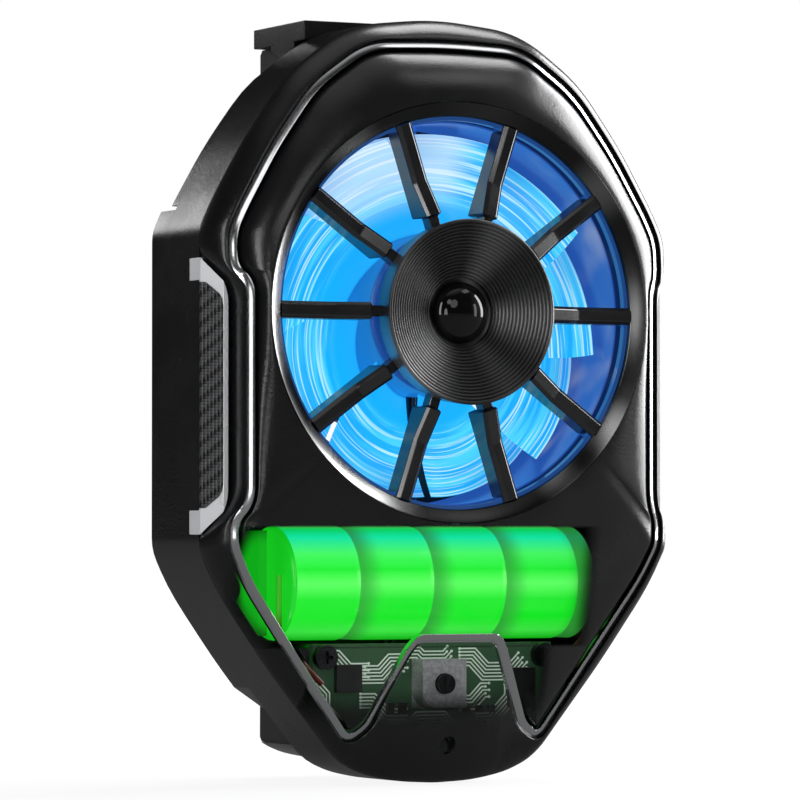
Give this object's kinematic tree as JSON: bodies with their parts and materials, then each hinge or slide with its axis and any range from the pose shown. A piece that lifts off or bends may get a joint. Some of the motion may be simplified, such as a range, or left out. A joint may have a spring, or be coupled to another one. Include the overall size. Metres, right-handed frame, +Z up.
{
  "type": "phone cooling fan",
  "caption": "Clip-on phone cooling fan: octagonal black casing with a plated trim line, lit rotor behind a spoked grille, round green cell, push button and a sprung phone clamp.",
  "frame": {"origin": "centre of the plane that the phone's back touches, on the casing's middle line", "axes": "+Y points into the phone, so the front with its grille faces -Y; +Z runs up the casing's long side towards the sliding jaw; +X is to the right seen from the front"},
  "size_m": [0.0636, 0.0362, 0.094],
  "materials": {
    "black_shell": "fine-textured satin black",
    "grille_black": "satin black",
    "gloss_black": "polished black",
    "satin_ring": "satin dark grey",
    "twill_grip": "twill-patterned dark grey",
    "plated_trim": "polished plating",
    "plated_accent": "bright plating",
    "steel": "bright steel",
    "screw_dark": "blackened steel",
    "bronze": "sintered bronze",
    "copper": "enamelled copper wire",
    "magnet": "bonded ferrite",
    "nylon": "natural nylon",
    "silicone": "matt dark silicone",
    "frame_blue_black": "satin blue-black",
    "rotor_blue": "translucent pale blue",
    "board_green": "dark green solder mask",
    "sleeve_green": "glossy bright green film",
    "lamp_clear": "clear",
    "wire_red": "satin red insulation",
    "wire_black": "satin black insulation"
  },
  "bodies": {
    "casing": {"front_bezel": "black_shell", "front_panel": "black_shell", "trim_strip": "plated_trim", "fan_ring": "satin_ring", "grille": "grille_black", "hub_dish": "satin_ring", "hub_jewel": "gloss_black", "left_accent": "plated_accent", "right_accent": "plated_accent", "left_grip_pad": "twill_grip", "right_grip_pad": "twill_grip", "indicator_lens": "lamp_clear", "mid_shell": "black_shell", "rear_cover": "black_shell", "seat_pads": "silicone", "lower_jaw": "black_shell", "lower_jaw_pad": "silicone", "left_clamp_spring": "steel", "right_clamp_spring": "steel", "fan_frame": "frame_blue_black", "bearing_bush": "bronze", "stator_core": "steel", "stator_windings": "copper", "fan_board": "board_green", "light_board": "board_green", "light_emitters": "lamp_clear", "battery_cell": "steel", "cell_sleeve": "sleeve_green", "cell_tabs": "steel", "cell_cradle": "frame_blue_black", "main_board": "board_green", "control_chip": "gloss_black", "board_parts": "gloss_black", "switch_body": "steel", "charging_port": "steel", "indicator_emitter": "lamp_clear", "cell_wires": "wire_red", "fan_wires": "wire_black", "cover_screws": "screw_dark", "front_screws": "screw_dark", "fan_screws": "screw_dark", "board_screws": "screw_dark", "jaw_screws": "screw_dark"},
    "fan_rotor": {"rotor": "rotor_blue", "rotor_yoke": "steel", "magnet_ring": "magnet", "rotor_shaft": "steel", "shaft_clip": "nylon"},
    "button": {"power_button": "black_shell", "switch_plunger": "gloss_black"},
    "clamp": {"clamp_carriage": "black_shell", "upper_jaw_pad": "silicone", "left_guide_rod": "steel", "right_guide_rod": "steel"}
  },
  "joints": [
    {"name": "fan_spin", "type": "hinge", "parent": "casing", "child": "fan_rotor", "pos_m": [0, -0.012, 0.0118], "axis": [0, 1, 0], "continuous": true},
    {"name": "button_press", "type": "slide", "parent": "casing", "child": "button", "axis": [0, 1, 0], "range_m": [0, 0.00035], "stiffness_N_per_m": 4000, "springref_m": -0.0001},
    {"name": "clamp_slide", "type": "slide", "parent": "casing", "child": "clamp", "axis": [0, 0, 1], "range_m": [0, 0.016], "stiffness_N_per_m": 400, "springref_m": -0.005, "deforming": ["left_clamp_spring", "right_clamp_spring"]}
  ]
}
